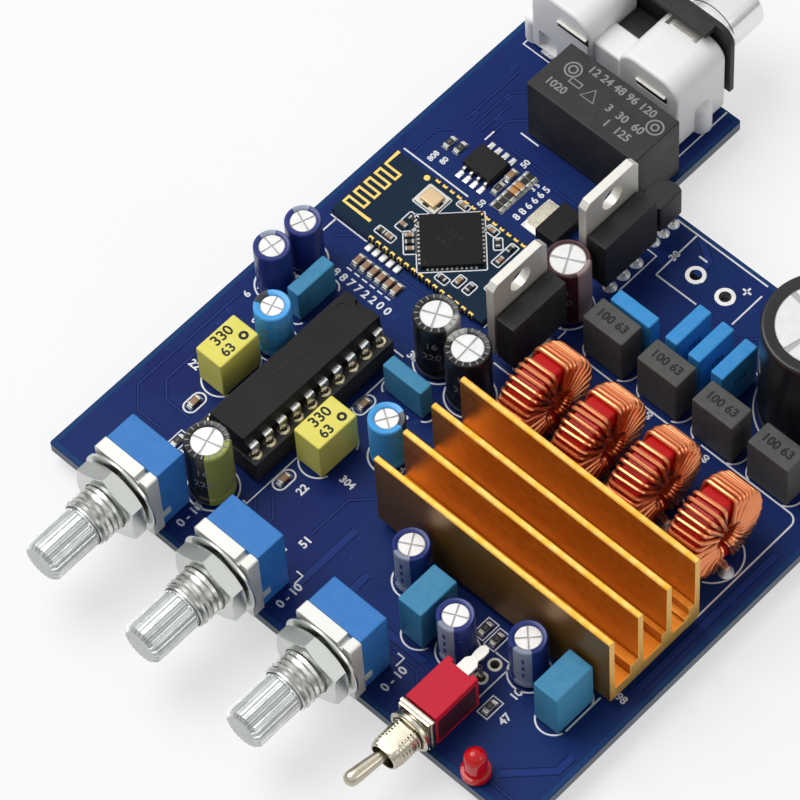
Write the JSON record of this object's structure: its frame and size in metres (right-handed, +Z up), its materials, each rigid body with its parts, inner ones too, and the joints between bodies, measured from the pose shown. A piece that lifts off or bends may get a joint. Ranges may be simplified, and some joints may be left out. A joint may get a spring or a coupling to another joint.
{
  "type": "audio amplifier board",
  "caption": "L-shaped audio amplifier circuit board with rotary tone controls, lever switch, finned heatsink, ring-core coils, relay, wireless module and twin line input.",
  "frame": {"origin": "middle of the main rectangle of the circuit board, on its underside", "axes": "+X along the control edge to the right seen from the front, +Y from the controls towards the line input, +Z up through the board"},
  "size_m": [0.0826, 0.1232, 0.0234],
  "materials": {
    "board_blue": "glossy solder mask",
    "control_blue": "semi-gloss",
    "zinc": "cast and brushed",
    "plated_steel": "bright plated",
    "nickel": "nickel plated",
    "switch_red": "glossy",
    "lamp_red": "clear glossy",
    "black": "satin moulded",
    "white": "glossy moulded",
    "brass": "gold plated",
    "module_green": "glossy solder mask",
    "navy_sleeve": "shrunk sleeve",
    "light_blue_sleeve": "shrunk sleeve",
    "olive_sleeve": "shrunk sleeve",
    "maroon_sleeve": "shrunk sleeve",
    "black_sleeve": "shrunk sleeve",
    "gold_anodised": "orange gold anodised",
    "core_red": "painted",
    "copper": "enamelled copper"
  },
  "bodies": {
    "board": {"amplifier_chip": "black", "capacitor_black_1": "black_sleeve", "capacitor_black_2": "black_sleeve", "capacitor_light_blue_1": "light_blue_sleeve", "capacitor_light_blue_2": "light_blue_sleeve", "capacitor_maroon": "maroon_sleeve", "capacitor_navy_1": "navy_sleeve", "capacitor_navy_2": "navy_sleeve", "capacitor_navy_3": "navy_sleeve", "capacitor_navy_4": "navy_sleeve", "capacitor_navy_5": "navy_sleeve", "capacitor_olive": "olive_sleeve", "chip_socket": "black", "circuit_board": "board_blue", "coil_1_core": "core_red", "coil_1_winding": "copper", "coil_2_core": "core_red", "coil_2_winding": "copper", "coil_3_core": "core_red", "coil_3_winding": "copper", "coil_4_core": "core_red", "coil_4_winding": "copper", "control_left_body": "control_blue", "control_left_bush": "zinc", "control_left_nut": "plated_steel", "control_left_washer": "plated_steel", "control_middle_body": "control_blue", "control_middle_bush": "zinc", "control_middle_nut": "plated_steel", "control_middle_washer": "plated_steel", "control_right_body": "control_blue", "control_right_bush": "zinc", "control_right_nut": "plated_steel", "control_right_washer": "plated_steel", "heatsink": "gold_anodised", "indicator_lamp": "lamp_red", "input_back_plate": "black", "input_housing": "white", "input_left_contact": "brass", "input_left_insulator": "white", "input_left_sleeve": "plated_steel", "input_right_contact": "brass", "input_right_insulator": "white", "input_right_sleeve": "plated_steel", "main_capacitor": "black_sleeve", "regulator_back_case": "black", "regulator_back_tab": "nickel", "regulator_front_case": "black", "regulator_front_tab": "nickel", "relay": "black", "switch_body": "switch_red", "switch_frame": "nickel", "switch_ring": "nickel", "tone_chip": "black", "transistor": "black", "wireless_module": "module_green"},
    "left_shaft": {"control_left_shaft": "zinc"},
    "middle_shaft": {"control_middle_shaft": "zinc"},
    "right_shaft": {"control_right_shaft": "zinc"},
    "lever": {"switch_lever": "nickel"}
  },
  "joints": [
    {"name": "left_control_turn", "type": "hinge", "parent": "board", "child": "left_shaft", "pos_m": [-0.02585, -0.041, 0.0083], "axis": [0, -1, 0], "range_deg": [-145, 145]},
    {"name": "middle_control_turn", "type": "hinge", "parent": "board", "child": "middle_shaft", "pos_m": [-0.0082, -0.041, 0.0083], "axis": [0, -1, 0], "range_deg": [-145, 145]},
    {"name": "right_control_turn", "type": "hinge", "parent": "board", "child": "right_shaft", "pos_m": [0.00945, -0.041, 0.0083], "axis": [0, -1, 0], "range_deg": [-145, 145]},
    {"name": "switch_throw", "type": "hinge", "parent": "board", "child": "lever", "pos_m": [0.02345, -0.0428, 0.005], "axis": [0, 0, 1], "range_deg": [0, 13]}
  ]
}
